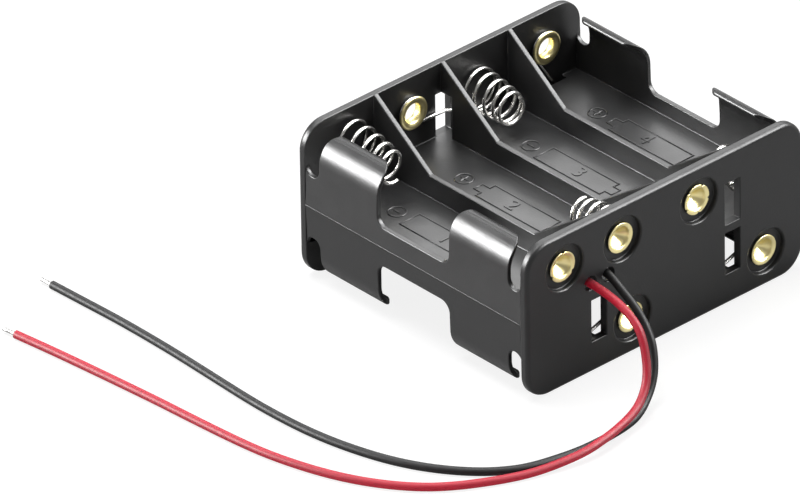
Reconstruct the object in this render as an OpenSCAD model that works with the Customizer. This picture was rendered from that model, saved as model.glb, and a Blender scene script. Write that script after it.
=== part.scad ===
// Holder for cylindrical cells in two layers of four, with a red and a black
// lead. X runs across the bays, Y along the cells and Z up. The origin is at
// the bottom centre of the moulded frame. The front plate, at -Y, carries the
// leads. Bays are numbered 1 to 4 from -X to +X, in a top and a bottom layer.

/* [Cells and bays] */
// Diameter of the cells
cell_d = 14.5; // [14:0.1:14.7]
// Distance between the centres of two bays
bay_pitch = 15.5; // [15.3:0.1:16.5]
// Length of a cell
cell_length = 50.5; // [49:0.5:52]
// Length that the contacts take up beside a cell
contact_room = 3.1; // [2.8:0.1:4]

/* [Moulded frame] */
// Height of the frame
frame_h = 30; // [29.5:0.5:34]
// Width of the frame beyond the outer bays, on each side
side_margin = 1; // [1:0.1:1.6]
// Thickness of the side walls at mid height
side_wall = 1.1; // [1:0.1:1.4]
// Draft of the side walls, from mid height to the clips' bends
side_draft = 0.25; // [0.1:0.05:0.4]
// Thickness of the end plates
plate_t = 1.7; // [1.6:0.1:2.4]
// Radius of the end plates' corners
plate_corner_r = 5; // [3:0.5:6]
// Rounding along the end plates' outer edges
plate_edge_r = 0.8; // [0.3:0.1:0.8]
// Thickness of the floor between the two layers
floor_t = 1.6; // [1.4:0.1:2]
// Thickness of the dividers
divider_t = 1; // [0.8:0.1:1.2]
// Height of the dividers above the floor, away from the end plates
divider_h = 4.2; // [3.6:0.2:5]
// Length over which a divider rises to the end plate's edge
gusset_l = 13.8; // [12:0.2:16]

/* [Side walls and clips] */
// Height of the low stretch of wall above mid height
low_wall_h = 3.8; // [3:0.2:4.4]
// Length of a clip along the cell
clip_l = 14.6; // [13:0.2:15]
// Gap between a clip and the end plate
clip_gap = 3.3; // [3:0.1:3.6]
// Height of the gap's lower end above mid height
clip_gap_h = 6.1; // [5:0.1:7]
// Height above mid height at which a clip starts to bend
clip_bend_h = 8.9; // [8.6:0.1:9]
// Outer radius of a clip's bend
clip_bend_r = 5.2; // [4.8:0.1:5.4]
// Angle of a clip's bend
clip_bend_angle = 68; // [62:1:72]
// Straight length of a clip after its bend
clip_tip_l = 0.5; // [0.3:0.1:0.8]
// Radius of a clip's corners, seen from above
clip_corner_r = 3.6; // [2:0.1:4]
// Radius at the foot of a clip
clip_foot_r = 2; // [1:0.1:2.4]

/* [Openings in the end plates and the floor] */
// Width of the windows over the dividers
window_w = 3.5; // [3:0.1:4]
// Height of a window's far edge from mid height
window_h = 9; // [8.8:0.1:9.4]
// Depth of the notch that a window cuts in its divider
notch_depth = 2.5; // [2:0.1:3]
// Length of the slots through the floor
floor_slot_l = 4.1; // [3.6:0.1:4.6]
// Width of the slots through the floor
floor_slot_w = 1.2; // [1.1:0.1:1.6]
// Distance from the middle of a bay to the middle of its floor slot
floor_slot_x = 2.2; // [1.8:0.1:2.6]
// Diameter of the recesses round the eyelets
recess_d = 8.5; // [7.8:0.1:8.8]
// Depth of the recesses
recess_depth = 1; // [0.7:0.1:1.1]
// Diameter of the holes for the leads
lead_hole_d = 2.7; // [2:0.1:2.8]
// Height of the lead holes above mid height
lead_hole_h = 2.8; // [2.4:0.1:3.2]
// Distance from the first divider to the red lead's hole
red_hole_x = 1.9; // [1.9:0.1:2.6]
// Distance from the first divider to the black lead's hole
black_hole_x = 2.2; // [1.9:0.1:2.6]

/* [Eyelets] */
// Diameter of the eyelets' bore
eyelet_bore_d = 3.8; // [3.4:0.1:4.2]
// Wall of the eyelets
eyelet_wall = 0.3; // [0.25:0.05:0.4]
// Diameter of the flange inside the bay
flange_d = 6.8; // [6.6:0.1:7.4]
// Thickness of the flange
flange_t = 0.4; // [0.35:0.05:0.6]
// Diameter of the rolled rim in the recess
rim_d = 6; // [5.7:0.1:6.4]
// Thickness of the rolled rim
rim_t = 0.5; // [0.4:0.05:0.6]
// Height of the eyelets beyond the cells' axis
eyelet_rise = 0.25; // [0:0.05:0.6]
// Offset of the negative eyelet from the middle of its bay
negative_offset = 2.2; // [1.8:0.1:2.4]

/* [Springs] */
// Diameter of the spring wire
wire_d = 0.72; // [0.6:0.02:0.8]
// Outer diameter of a spring at its foot
spring_foot_d = 8.3; // [7.6:0.1:8.6]
// Outer diameter of a spring at its tip
spring_tip_d = 5.9; // [5:0.1:7]
// Free length of a spring
spring_l = 10; // [8:0.5:11]
// Turns that rise from the foot to the tip
spring_turns = 4.6; // [3:0.1:5]
// How much a spring's turns close up towards its tip
tip_closing = 0.6; // [0:0.1:1]
// Angle by which the wire's end wraps an eyelet
loop_angle = 240; // [180:10:260]

/* [Leads] */
// Diameter of the leads
lead_d = 1.5; // [1.2:0.1:1.6]
// Diameter of the tinned strands
strand_d = 0.7; // [0.5:0.05:0.72]
// Length of the tinned strands at the free ends
bare_l = 3.2; // [2:0.2:6]
// Length of insulation inside the front plate
lead_inside_l = 0.5; // [0.4:0.1:0.8]

/* [Hidden] */
$fn = 64;

bays = 4;
front = -1;
rear = 1;
top = 1;
bottom = -1;
seat_gap = 0.02;
tip_room = 0.2;
bend_steps = 12;
cut = 1;
tube_sides = 8;
wire_sides = 6;
wire_steps = 12;
loop_step = 30;
bend_turns = 3;
low_pass_share = 0.6;

half_w = bays / 2 * bay_pitch + side_margin;
half_h = frame_h / 2;
inner_half = (cell_length + contact_room) / 2;
inner_x = half_w - side_wall;
clip_t = side_wall - side_draft;
clip_y = inner_half - clip_gap - clip_l / 2;
cell_h = (floor_t + cell_d) / 2;
eyelet_h = cell_h + eyelet_rise;
shank_r = eyelet_bore_d / 2 + eyelet_wall;
flange_rise = wire_d + 2 * seat_gap;
seat_y = inner_half - wire_d / 2 - seat_gap;
loop_r = (shank_r + wire_d / 2 + seat_gap) / cos(loop_step / 2);
foot_r = (spring_foot_d - wire_d) / 2;
tip_r = (spring_tip_d - wire_d) / 2;
low_pass = window_h * low_pass_share;
high_pass = window_h - wire_d;
// Drop of a spring that rests on the floor, from the cell's axis.
resting_drop = cell_h - floor_t / 2 - foot_r - wire_d / 2 - 2 * seat_gap;
// Rise of a wire that has to clear the flange of an eyelet.
flange_lift = flange_rise + flange_t - wire_d / 2;

function bay_x(bay) = (bay - (bays + 1) / 2) * bay_pitch;
function divider_x(k) = (k - bays / 2) * bay_pitch;

// Each eyelet: name, end plate, layer, bay and offset from the bay's middle.
EYELETS = [
    ["eyelet_top_1", front, top, 1, 0],
    ["eyelet_top_2", rear, top, 2, 0],
    ["eyelet_top_3", front, top, 3, 0],
    ["eyelet_top_4", rear, top, 4, 0],
    ["eyelet_bottom_1", rear, bottom, 1, 0],
    ["eyelet_bottom_2", front, bottom, 2, 0],
    ["eyelet_bottom_3", rear, bottom, 3, 0],
    ["eyelet_bottom_4", front, bottom, 4, 0],
    ["eyelet_negative", front, top, 2, -negative_offset]
];

// Each spring: name, end plate, layer, bay, the foot's offset from the cell's
// axis in X and Z as shares of the foot's radius, share of the free length,
// eyelet, and the point in X and Z, from mid height, where its wire passes
// through the frame. The one without such a point hangs on an eyelet of its bay.
SPRINGS = [
    ["spring_top_1", rear, top, 1, [0.34, 0.32], 1.18, "eyelet_bottom_1", slot_pass(1)],
    ["spring_top_2", front, top, 2, [0, -0.21], 0.98, "eyelet_negative", undef],
    ["spring_top_3", rear, top, 3, [0, -0.42], 0.9, "eyelet_top_2", [divider_x(2), low_pass]],
    ["spring_top_4", front, top, 4, [0, -resting_drop / foot_r], 1, "eyelet_top_3",
        [divider_x(3), high_pass]],
    ["spring_bottom_1", front, bottom, 1, [0, 0], 1, "eyelet_bottom_2", [divider_x(1), -high_pass]],
    ["spring_bottom_2", rear, bottom, 2, [0, 0], 1, "eyelet_bottom_3", [divider_x(2), -low_pass]],
    ["spring_bottom_3", front, bottom, 3, [0, 0], 1, "eyelet_bottom_4", [divider_x(3), -high_pass]],
    ["spring_bottom_4", rear, bottom, 4, [0, 0], 1, "eyelet_top_4", slot_pass(4)]
];

function slot_pass(bay) = [bay_x(bay) + floor_slot_x, 0];

// Windows over the dividers: end plate, divider and layer.
WINDOWS = [
    [front, 3, top], [front, 3, bottom], [front, 1, bottom],
    [rear, 2, top], [rear, 2, bottom]
];
// Bays whose floor has a slot beside the rear plate.
SLOTTED_BAYS = [1, 4];

// Routes of the leads outside the front plate, in X, Y and Z.
RED_ROUTE = [
    [-17.4, -32, 17.5], [-17.3, -36.3, 16.4], [-17.3, -40.2, 13.8],
    [-17.8, -42.4, 9.4], [-19.3, -43.9, 5.6], [-22.6, -45.3, 3.1],
    [-27.3, -46.5, 2.2], [-33, -47.5, 1.9], [-38.5, -47.4, 1.4],
    [-46.5, -45.5, 0.8], [-54.5, -42.1, 0.8], [-62, -37, 0.8],
    [-67.8, -29.8, 0.8], [-72, -21, 0.8], [-74.9, -10, 0.8],
    [-76.2, 2, 0.8], [-77, 14, 0.8], [-78, 26, 0.8],
    [-79.1, 37.5, 0.8], [-80.2, 47, 0.8]
];
BLACK_ROUTE = [
    [-13.3, -32, 16], [-13.3, -36, 13.4], [-13.7, -39.4, 9.5],
    [-15.2, -41.5, 5], [-18.2, -43, 1.9], [-22.8, -44.9, 0.8],
    [-28.5, -45.9, 0.8], [-35, -46, 0.8], [-41, -45.1, 0.8],
    [-47, -43.3, 0.8], [-52.4, -39.6, 0.8], [-57.2, -33.9, 0.8],
    [-60.9, -27, 0.8], [-63.5, -18.8, 0.8], [-65.1, -9.5, 0.8],
    [-65.6, 1.5, 0.8], [-65.2, 13, 0.8], [-64.7, 25, 0.8],
    [-64.6, 37, 0.8], [-64.9, 46.5, 0.8], [-65.2, 54.6, 0.8]
];

red_hole = [divider_x(1) - red_hole_x, half_h + lead_hole_h];
black_hole = [divider_x(1) + black_hole_x, half_h + lead_hole_h];

// ---- Tubes swept along points ----

function unit(v) = v / norm(v);
function square_to(v, t) = unit(v - (v * t) * t);

// Direction of a line of points at point i.
function heading(p, i) = unit(p[min(i + 1, len(p) - 1)] - p[max(i - 1, 0)]);

// One side vector per point, carried along the line without twist.
function side_vectors(p, start) = [
    for (i = 0, v = square_to(start, heading(p, 0)); i < len(p);
        i = i + 1, v = i < len(p) ? square_to(v, heading(p, i)) : v) v
];

function ring(centre, v, t, r, sides) = let (w = cross(t, v))
    [for (k = [0:sides - 1]) let (a = 360 / sides * k)
        centre + r * (cos(a) * v + sin(a) * w)];

// Line of points with one more between each pair, on a smooth curve.
function smoothed(p) = let (n = len(p) - 1) concat(
    [for (i = [0:n - 1]) each [
        p[i],
        (9 * (p[i] + p[i + 1]) - p[max(i - 1, 0)] - p[min(i + 2, n)]) / 16
    ]],
    [p[n]]
);

module tube(p, d, sides, start) {
    side = side_vectors(p, start);
    rings = [for (i = [0:len(p) - 1]) ring(p[i], side[i], heading(p, i), d / 2, sides)];
    count = len(p);
    polyhedron(
        points = [for (r = rings) each r],
        faces = concat(
            [[for (k = [0:sides - 1]) k]],
            [for (i = [0:count - 2]) for (k = [0:sides - 1]) let (n = (k + 1) % sides)
                [i * sides + k, (i + 1) * sides + k, (i + 1) * sides + n, i * sides + n]],
            [[for (k = [sides - 1:-1:0]) (count - 1) * sides + k]]
        )
    );
}

// ---- Moulded frame ----

// Section through a plate's rim: flat inside, rounded on the outer edge.
module rim_section() {
    square([plate_corner_r, plate_t - plate_edge_r]);
    square([plate_corner_r - plate_edge_r, plate_t]);
    translate([plate_corner_r - plate_edge_r, plate_t - plate_edge_r]) circle(plate_edge_r);
}

module plate_edges(half_length, half_reach) {
    for (turn = [0, 180]) rotate([0, 0, turn])
        translate([half_reach, half_length, 0]) rotate([90, 0, 0])
            linear_extrude(2 * half_length) rim_section();
}

// End plate, flat on its inner face at z = 0.
module plate() {
    a = half_w - plate_corner_r;
    b = half_h - plate_corner_r;
    translate([-a, -b, 0]) cube([2 * a, 2 * b, plate_t]);
    plate_edges(b, a);
    rotate([0, 0, 90]) plate_edges(a, b);
    for (corner = [[a, b, 0], [-a, b, 90], [-a, -b, 180], [a, -b, 270]])
        translate([corner[0], corner[1], 0]) rotate([0, 0, corner[2]])
            rotate_extrude(angle = 90) rim_section();
}

// Places a child drawn on the inner face of an end plate, with Z outwards.
module on_plate(end, x, z) {
    translate([x, end * inner_half, half_h + z]) rotate([end > 0 ? -90 : 90, 0, 0]) children();
}

module end_plate(end) {
    difference() {
        on_plate(end, 0, 0) plate();
        for (e = EYELETS) if (e[1] == end) on_plate(end, eyelet_x(e), eyelet_z(e)) {
            translate([0, 0, plate_t - recess_depth]) cylinder(h = recess_depth + cut, d = recess_d);
            translate([0, 0, -cut]) cylinder(h = plate_t + 2 * cut, r = shank_r + seat_gap);
        }
        if (end == front) for (hole = [red_hole, black_hole])
            on_plate(end, hole[0], hole[1] - half_h) translate([0, 0, -cut])
                cylinder(h = plate_t + 2 * cut, d = lead_hole_d);
    }
}

function eyelet_x(e) = bay_x(e[3]) + e[4];
function eyelet_z(e) = e[2] * eyelet_h;

function arc(centre, r, from, to, steps) = [
    for (i = [0:steps]) let (a = from + (to - from) * i / steps) centre + r * [cos(a), sin(a)]
];

bend_centre = [inner_x + clip_t - clip_bend_r, clip_bend_h];
tip_centre = bend_centre
    + (clip_bend_r - clip_t / 2) * [cos(clip_bend_angle), sin(clip_bend_angle)]
    + clip_tip_l * [-sin(clip_bend_angle), cos(clip_bend_angle)];
// Where the clips' outline ends, seen from above, just clear of their tips.
clip_tip_x = tip_centre[0] - clip_t / 2 - tip_room;

// Upper half of the side wall and clip, in X and height above mid height.
module clip_section() {
    polygon(concat(
        [[inner_x, 0], [half_w, 0]],
        arc(bend_centre, clip_bend_r, 0, clip_bend_angle, bend_steps),
        arc(tip_centre, clip_t / 2, clip_bend_angle, clip_bend_angle + 180, bend_steps / 2),
        arc(bend_centre, clip_bend_r - clip_t, clip_bend_angle, 0, bend_steps)
    ));
}

// What the clips' rounded corners lack, seen from above.
module clip_corners() {
    for (s = [front, rear], end = [0, 1])
        translate([clip_tip_x, s * clip_y]) mirror([0, end])
            translate([0, clip_l / 2 - clip_corner_r]) difference() {
                translate([-cut, 0]) square(clip_corner_r + cut);
                translate([clip_corner_r, 0]) circle(clip_corner_r);
            }
}

// Cut-out between the clips and the gaps beside them, in Y and height.
module clip_cuts() {
    low = clip_y - clip_l / 2;
    translate([-low, low_wall_h + clip_foot_r]) square([2 * low, frame_h]);
    translate([clip_foot_r - low, low_wall_h]) square([2 * (low - clip_foot_r), frame_h]);
    for (s = [-1, 1]) {
        translate([s * (low - clip_foot_r), low_wall_h + clip_foot_r]) circle(clip_foot_r);
        translate([s * (inner_half - clip_gap / 2), clip_gap_h + clip_gap / 2]) {
            circle(d = clip_gap);
            translate([-clip_gap / 2, 0]) square([clip_gap, frame_h]);
        }
    }
}

module side_wall_half() {
    difference() {
        translate([0, inner_half, 0]) rotate([90, 0, 0])
            linear_extrude(2 * inner_half) clip_section();
        translate([clip_tip_x - cut, 0, 0]) rotate([90, 0, 90])
            linear_extrude(half_w - clip_tip_x + 2 * cut) clip_cuts();
        linear_extrude(frame_h) clip_corners();
    }
}

module divider(x) {
    ridge = floor_t / 2 + divider_h;
    flat_half = inner_half - gusset_l;
    translate([x - divider_t / 2, 0, half_h]) rotate([90, 0, 90]) linear_extrude(divider_t)
        polygon([
            [-inner_half, half_h], [-flat_half, ridge], [flat_half, ridge], [inner_half, half_h],
            [inner_half, -half_h], [flat_half, -ridge], [-flat_half, -ridge], [-inner_half, -half_h]
        ]);
}

module window(w) {
    depth = notch_depth + plate_t + cut;
    translate([
        divider_x(w[1]) - window_w / 2,
        w[0] > 0 ? inner_half - notch_depth : -inner_half - plate_t - cut,
        half_h + (w[2] > 0 ? floor_t / 2 : -window_h)
    ]) cube([window_w, depth, window_h - floor_t / 2]);
}

module holder_frame() {
    color([0.09, 0.09, 0.095]) difference() {
        union() {
            for (end = [front, rear]) end_plate(end);
            translate([-inner_x, -inner_half, half_h - floor_t / 2])
                cube([2 * inner_x, 2 * inner_half, floor_t]);
            for (k = [1:bays - 1]) divider(divider_x(k));
            translate([0, 0, half_h]) for (side = [0, 1], layer = [0, 1])
                mirror([side, 0, 0]) mirror([0, 0, layer]) side_wall_half();
        }
        for (w = WINDOWS) window(w);
        for (bay = SLOTTED_BAYS)
            translate([bay_x(bay) + floor_slot_x - floor_slot_l / 2, inner_half - floor_slot_w, 0])
                cube([floor_slot_l, floor_slot_w, frame_h]);
    }
}

// ---- Eyelets ----

// Half section of an eyelet: radius, and distance outwards from the plate.
module eyelet_section() {
    inner_end = -flange_rise - flange_t;
    rim_z = plate_t - recess_depth;
    difference() {
        union() {
            translate([eyelet_bore_d / 2, inner_end])
                square([eyelet_wall, rim_z + rim_t - inner_end]);
            translate([eyelet_bore_d / 2, inner_end])
                square([(flange_d - flange_t - eyelet_bore_d) / 2, flange_t]);
            translate([(flange_d - flange_t) / 2, inner_end + flange_t / 2]) circle(d = flange_t);
            translate([eyelet_bore_d / 2, rim_z])
                square([(rim_d - rim_t - eyelet_bore_d) / 2, rim_t]);
            translate([(rim_d - rim_t) / 2, rim_z + rim_t / 2]) circle(d = rim_t);
        }
        mouth(inner_end, 1);
        mouth(rim_z + rim_t, -1);
    }
}

// Rounding where the bore opens, at height z, with the metal on side s.
module mouth(z, s) {
    r = eyelet_wall;
    difference() {
        translate([eyelet_bore_d / 2 - r, z - r]) square([2 * r, 2 * r]);
        translate([eyelet_bore_d / 2 + r, z + s * r]) circle(r);
        translate([eyelet_bore_d / 2 - 2 * r, z + (s > 0 ? r : -3 * r)]) square([4 * r, 2 * r]);
    }
}

module eyelet(e) {
    color([0.85, 0.68, 0.3]) on_plate(e[1], eyelet_x(e), eyelet_z(e))
        rotate_extrude() eyelet_section();
}

// ---- Springs ----

// Angle of the point where a wire round a circle meets the line to a point.
function tangent_angle(centre, r, point, turn) = let (to = point - centre)
    atan2(to[1], to[0]) + turn * acos(r / norm(to));

// Point of the wire at an angle round a centre, at a distance from the plate.
function wire_point(end, centre, r, angle, rise) = [
    centre[0] + r * cos(angle),
    end * (seat_y - rise),
    half_h + centre[1] + r * sin(angle)
];

// Loop round an eyelet, which ends at an angle.
function loop_points(end, centre, to, side) = let (steps = round(loop_angle / loop_step)) [
    for (i = [steps:-1:0]) wire_point(end, centre, loop_r, to - side * loop_angle * i / steps, 0)
];

// Coil from the foot's start angle: flat turns, then a cone that closes up.
function coil_points(end, centre, from, length, flat, lift) = let (
    total = flat + spring_turns,
    count = round(total * wire_steps),
    height = length - wire_d - seat_gap - lift
) [
    for (i = [0:count]) let (
        u = total * i / count,
        share = max(0, u - flat) / spring_turns,
        rise = share + tip_closing * share * share * (1 - share)
    ) wire_point(
        end, centre, foot_r + (tip_r - foot_r) * share, from + end * 360 * u, lift + height * rise
    )
];

// Wire that runs along the plate to its own bay and lies flat for a turn.
function linked_points(end, eye, pass, centre, length) = concat(
    loop_points(end, eye, tangent_angle(eye, loop_r, pass, -1), 1),
    [wire_point(end, pass, 0, 0, 0)],
    coil_points(end, centre, tangent_angle(centre, foot_r, pass, end), length, 1, 0)
);

// Wire that comes from under a flange in its own bay and coils above it.
function direct_points(end, eye, centre, length) = let (
    start = centre + [foot_r, 0],
    leave = tangent_angle(eye, loop_r, start, 1),
    from = eye + loop_r * [cos(leave), sin(leave)],
    clear = sqrt(pow(flange_d / 2 + wire_d, 2) - pow(loop_r, 2))
) concat(
    loop_points(end, eye, leave, -1),
    [wire_point(end, from + clear * unit(start - from), 0, 0, 0)],
    coil_points(end, centre, 0, length, 0, flange_lift)
);

function eyelet_named(name) = [for (e = EYELETS) if (e[0] == name) e][0];

// All springs are right-handed, so they turn one way at each end plate.
function spring_points(s) = let (
    end = s[1],
    centre = [bay_x(s[3]), s[2] * cell_h] + s[4] * foot_r,
    length = s[5] * spring_l,
    e = eyelet_named(s[6]),
    eye = [eyelet_x(e), eyelet_z(e)]
) is_undef(s[7])
    ? direct_points(end, eye, centre, length)
    : linked_points(end, eye, s[7], centre, length);

module contact_spring(s) {
    color([0.78, 0.78, 0.8]) tube(spring_points(s), wire_d, wire_sides, [0, 1, 0]);
}

// ---- Leads ----

function lead_points(hole, route) = concat(
    [[hole[0], lead_inside_l - inner_half, hole[1]], [hole[0], -inner_half - plate_t, hole[1]]],
    smoothed(route)
);

module lead(hole, route) {
    tube(lead_points(hole, route), lead_d, tube_sides, [1, 0, 0]);
}

module red_lead() {
    color([0.8, 0.1, 0.2]) lead(red_hole, RED_ROUTE);
}

module black_lead() {
    color([0.1, 0.1, 0.1]) lead(black_hole, BLACK_ROUTE);
}

// Tinned strands that carry on in the direction in which the lead ends.
module lead_tip(route) {
    end = route[len(route) - 1];
    along = unit(end - route[len(route) - 2]);
    color([0.8, 0.8, 0.8]) translate(end)
        rotate([-90, 0, atan2(along[1], along[0]) - 90]) cylinder(h = bare_l, d = strand_d);
}

// Tinned strands from the lead's inner end to what stands round an eyelet's
// axis within a radius: its shank, or the loop of wire round the shank.
module soldered_end(hole, e, held_r) {
    eye = [eyelet_x(e), half_h + eyelet_z(e)];
    to = unit(eye - hole);
    start_y = lead_inside_l - inner_half;
    flat_y = strand_d / 2 + seat_gap - inner_half;
    color([0.8, 0.8, 0.8]) tube(concat(
        [[hole[0], start_y, hole[1]]],
        [for (i = [1:bend_turns]) let (p = hole + to * strand_d * (i - 1) / 2)
            [p[0], start_y + strand_d / 2 * (1 - pow(1 - i / bend_turns, 2)), p[1]]],
        [for (r = [flange_d / 2 + strand_d, held_r + strand_d / 2 + 2 * seat_gap])
            [eye[0] - r * to[0], flat_y, eye[1] - r * to[1]]]
    ), strand_d, wire_sides, [1, 0, 0]);
}

holder_frame();
for (s = SPRINGS) contact_spring(s);
for (e = EYELETS) eyelet(e);
red_lead();
lead_tip(RED_ROUTE);  // red_lead_tip
soldered_end(red_hole, eyelet_named("eyelet_top_1"), shank_r);  // red_lead_soldered_end
black_lead();
lead_tip(BLACK_ROUTE);  // black_lead_tip
soldered_end(black_hole, eyelet_named("eyelet_negative"), loop_r + wire_d / 2);  // black_lead_soldered_end
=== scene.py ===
# %% [markdown]
# # A holder for round cells
#
# The holder is one black moulding with four bays above and four below. Coil springs and brass
# eyelets sit at the ends of the bays, and a red and a black lead leave the front plate. The solids
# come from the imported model. This lesson adds finishes, bevels, round wire, riveted rims, twisted
# strands and the raised marks on the floors of the bays.

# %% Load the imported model
import math

import bmesh
import bpy
from mathutils import Matrix, Vector


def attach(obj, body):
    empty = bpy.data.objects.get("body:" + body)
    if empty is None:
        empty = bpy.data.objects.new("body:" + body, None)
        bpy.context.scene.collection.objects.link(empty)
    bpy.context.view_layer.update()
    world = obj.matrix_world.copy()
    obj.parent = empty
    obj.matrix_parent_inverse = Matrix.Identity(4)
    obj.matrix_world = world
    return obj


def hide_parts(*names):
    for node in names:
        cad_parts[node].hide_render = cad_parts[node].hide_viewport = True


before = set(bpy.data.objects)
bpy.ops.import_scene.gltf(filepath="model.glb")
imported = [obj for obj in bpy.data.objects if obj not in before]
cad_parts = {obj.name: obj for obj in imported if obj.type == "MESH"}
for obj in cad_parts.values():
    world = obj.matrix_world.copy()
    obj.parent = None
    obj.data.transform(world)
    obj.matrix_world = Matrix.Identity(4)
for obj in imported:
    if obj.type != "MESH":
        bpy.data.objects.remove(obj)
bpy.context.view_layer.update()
MM = 0.001
print("nodes:", len(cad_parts))

# %% [markdown]
# The camera stands in front of the lead side, a little to the left, and looks down on the holder
# from far away through a long lens, so that parallel edges stay nearly parallel. A camera could be
# aimed by a constraint or by rotation angles. Here it is set by two angles, a small roll and the
# point that it looks at, because each of these numbers has a plain meaning.

# %% Camera
AZIMUTH, ELEVATION, ROLL = (math.radians(a) for a in (-42.11, 31.77, -0.90))
TARGET = Vector((-0.02188, 0.01421, 0.00782))
DISTANCE, LENS, SENSOR = 3.061, 811.5, 36


def add_object(name, data):
    """Object with this data, linked to the scene."""
    item = bpy.data.objects.new(name, data)
    bpy.context.scene.collection.objects.link(item)
    return item


def look_from(azimuth, elevation, roll):
    """Rotation of a camera that looks back at the target from these angles."""
    back = Vector((
        math.sin(azimuth) * math.cos(elevation),
        -math.cos(azimuth) * math.cos(elevation),
        math.sin(elevation),
    ))
    right = Vector((math.cos(azimuth), math.sin(azimuth), 0))
    up = back.cross(right)
    turned = Matrix.Rotation(roll, 3, back)
    return Matrix((turned @ right, turned @ up, back)).transposed()


camera = add_object("camera", bpy.data.cameras.new("camera"))
bpy.context.scene.camera = camera
view = look_from(AZIMUTH, ELEVATION, ROLL)
camera.matrix_world = Matrix.Translation(TARGET + DISTANCE * view.col[2]) @ view.to_4x4()
camera.data.sensor_width = SENSOR
camera.data.lens = LENS
camera.data.clip_start, camera.data.clip_end = 0.1, 20
print("camera at", [round(v, 3) for v in camera.location])

# %% [markdown]
# A finish is a Principled shader with a few nodes that vary it. Painted textures would need an
# unwrapped mesh, so the variation comes from noise instead. It is read from Object coordinates,
# which are metres here, so a scale of 500 gives blotches about two millimetres across. One helper
# makes the material, one makes noise, and the others lead it to a socket or to a shallow bump.

# %% Helpers for finishes
NOISE_LOW, NOISE_HIGH = 0.3, 0.7


def new_finish(name, colour, metallic, roughness, specular):
    """Material with one Principled shader. Returns the material, its tree and the shader."""
    material = bpy.data.materials.new(name)
    material.use_nodes = True
    tree = material.node_tree
    shader = tree.nodes["Principled BSDF"]
    shader.inputs["Base Color"].default_value = (*colour, 1)
    shader.inputs["Metallic"].default_value = metallic
    shader.inputs["Roughness"].default_value = roughness
    shader.inputs["Specular IOR Level"].default_value = specular
    material.diffuse_color = (*colour, 1)
    return material, tree, shader


def add_noise(tree, scale, detail=3):
    """Noise in object space. Returns the socket with its value."""
    place = tree.nodes.new("ShaderNodeTexCoord")
    noise = tree.nodes.new("ShaderNodeTexNoise")
    noise.inputs["Scale"].default_value = scale
    noise.inputs["Detail"].default_value = detail
    tree.links.new(place.outputs["Object"], noise.inputs["Vector"])
    return noise.outputs["Fac"]


def vary(tree, value, low, high, socket, start=NOISE_LOW, stop=NOISE_HIGH):
    """Takes a shader socket from low to high while the value goes from start to stop."""
    ramp = tree.nodes.new("ShaderNodeMapRange")
    ramp.inputs["From Min"].default_value = start
    ramp.inputs["From Max"].default_value = stop
    ramp.inputs["To Min"].default_value = low
    ramp.inputs["To Max"].default_value = high
    tree.links.new(value, ramp.inputs["Value"])
    tree.links.new(ramp.outputs["Result"], socket)


def add_bump(tree, shader, value, depth):
    """Bumps the surface by a height, in metres."""
    bump = tree.nodes.new("ShaderNodeBump")
    bump.inputs["Distance"].default_value = depth
    tree.links.new(value, bump.inputs["Height"])
    tree.links.new(bump.outputs["Normal"], shader.inputs["Normal"])


print("blotches at scale 500: about %.0f mm" % (1 / 500 / MM))

# %% [markdown]
# The insulation is soft vinyl, pressed out round the strands: a plain colour, half matt, with the
# faint unevenness of a pressed surface. A flat colour would look like paint, so both leads get a
# wandering roughness and a bump far too shallow to be seen as one. The black one is a bit duller.

# %% Insulation
PVC_BLOTCHES, PVC_GRAIN, PVC_DEPTH = 900, 2500, 0.008 * MM
red_pvc, red_tree, red_shader = new_finish(
    "red_pvc", (0.58, 0.014, 0.04), metallic=0, roughness=0.5, specular=0.25)
vary(red_tree, add_noise(red_tree, PVC_BLOTCHES), 0.46, 0.56, red_shader.inputs["Roughness"])
add_bump(red_tree, red_shader, add_noise(red_tree, PVC_GRAIN), PVC_DEPTH)
black_pvc, black_tree, black_shader = new_finish(
    "black_pvc", (0.011, 0.011, 0.0115), metallic=0, roughness=0.5, specular=0.2)
vary(black_tree, add_noise(black_tree, PVC_BLOTCHES), 0.44, 0.56, black_shader.inputs["Roughness"])
add_bump(black_tree, black_shader, add_noise(black_tree, PVC_GRAIN), PVC_DEPTH)
print("finishes:", red_pvc.name, black_pvc.name)

# %% [markdown]
# The leads are the longest pieces, and their routes are settled in the solid model. The same points
# are repeated here in millimetres: straight out of the hole, down under their own weight, and then
# along the floor with the axis half a diameter and a little more above it.

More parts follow.
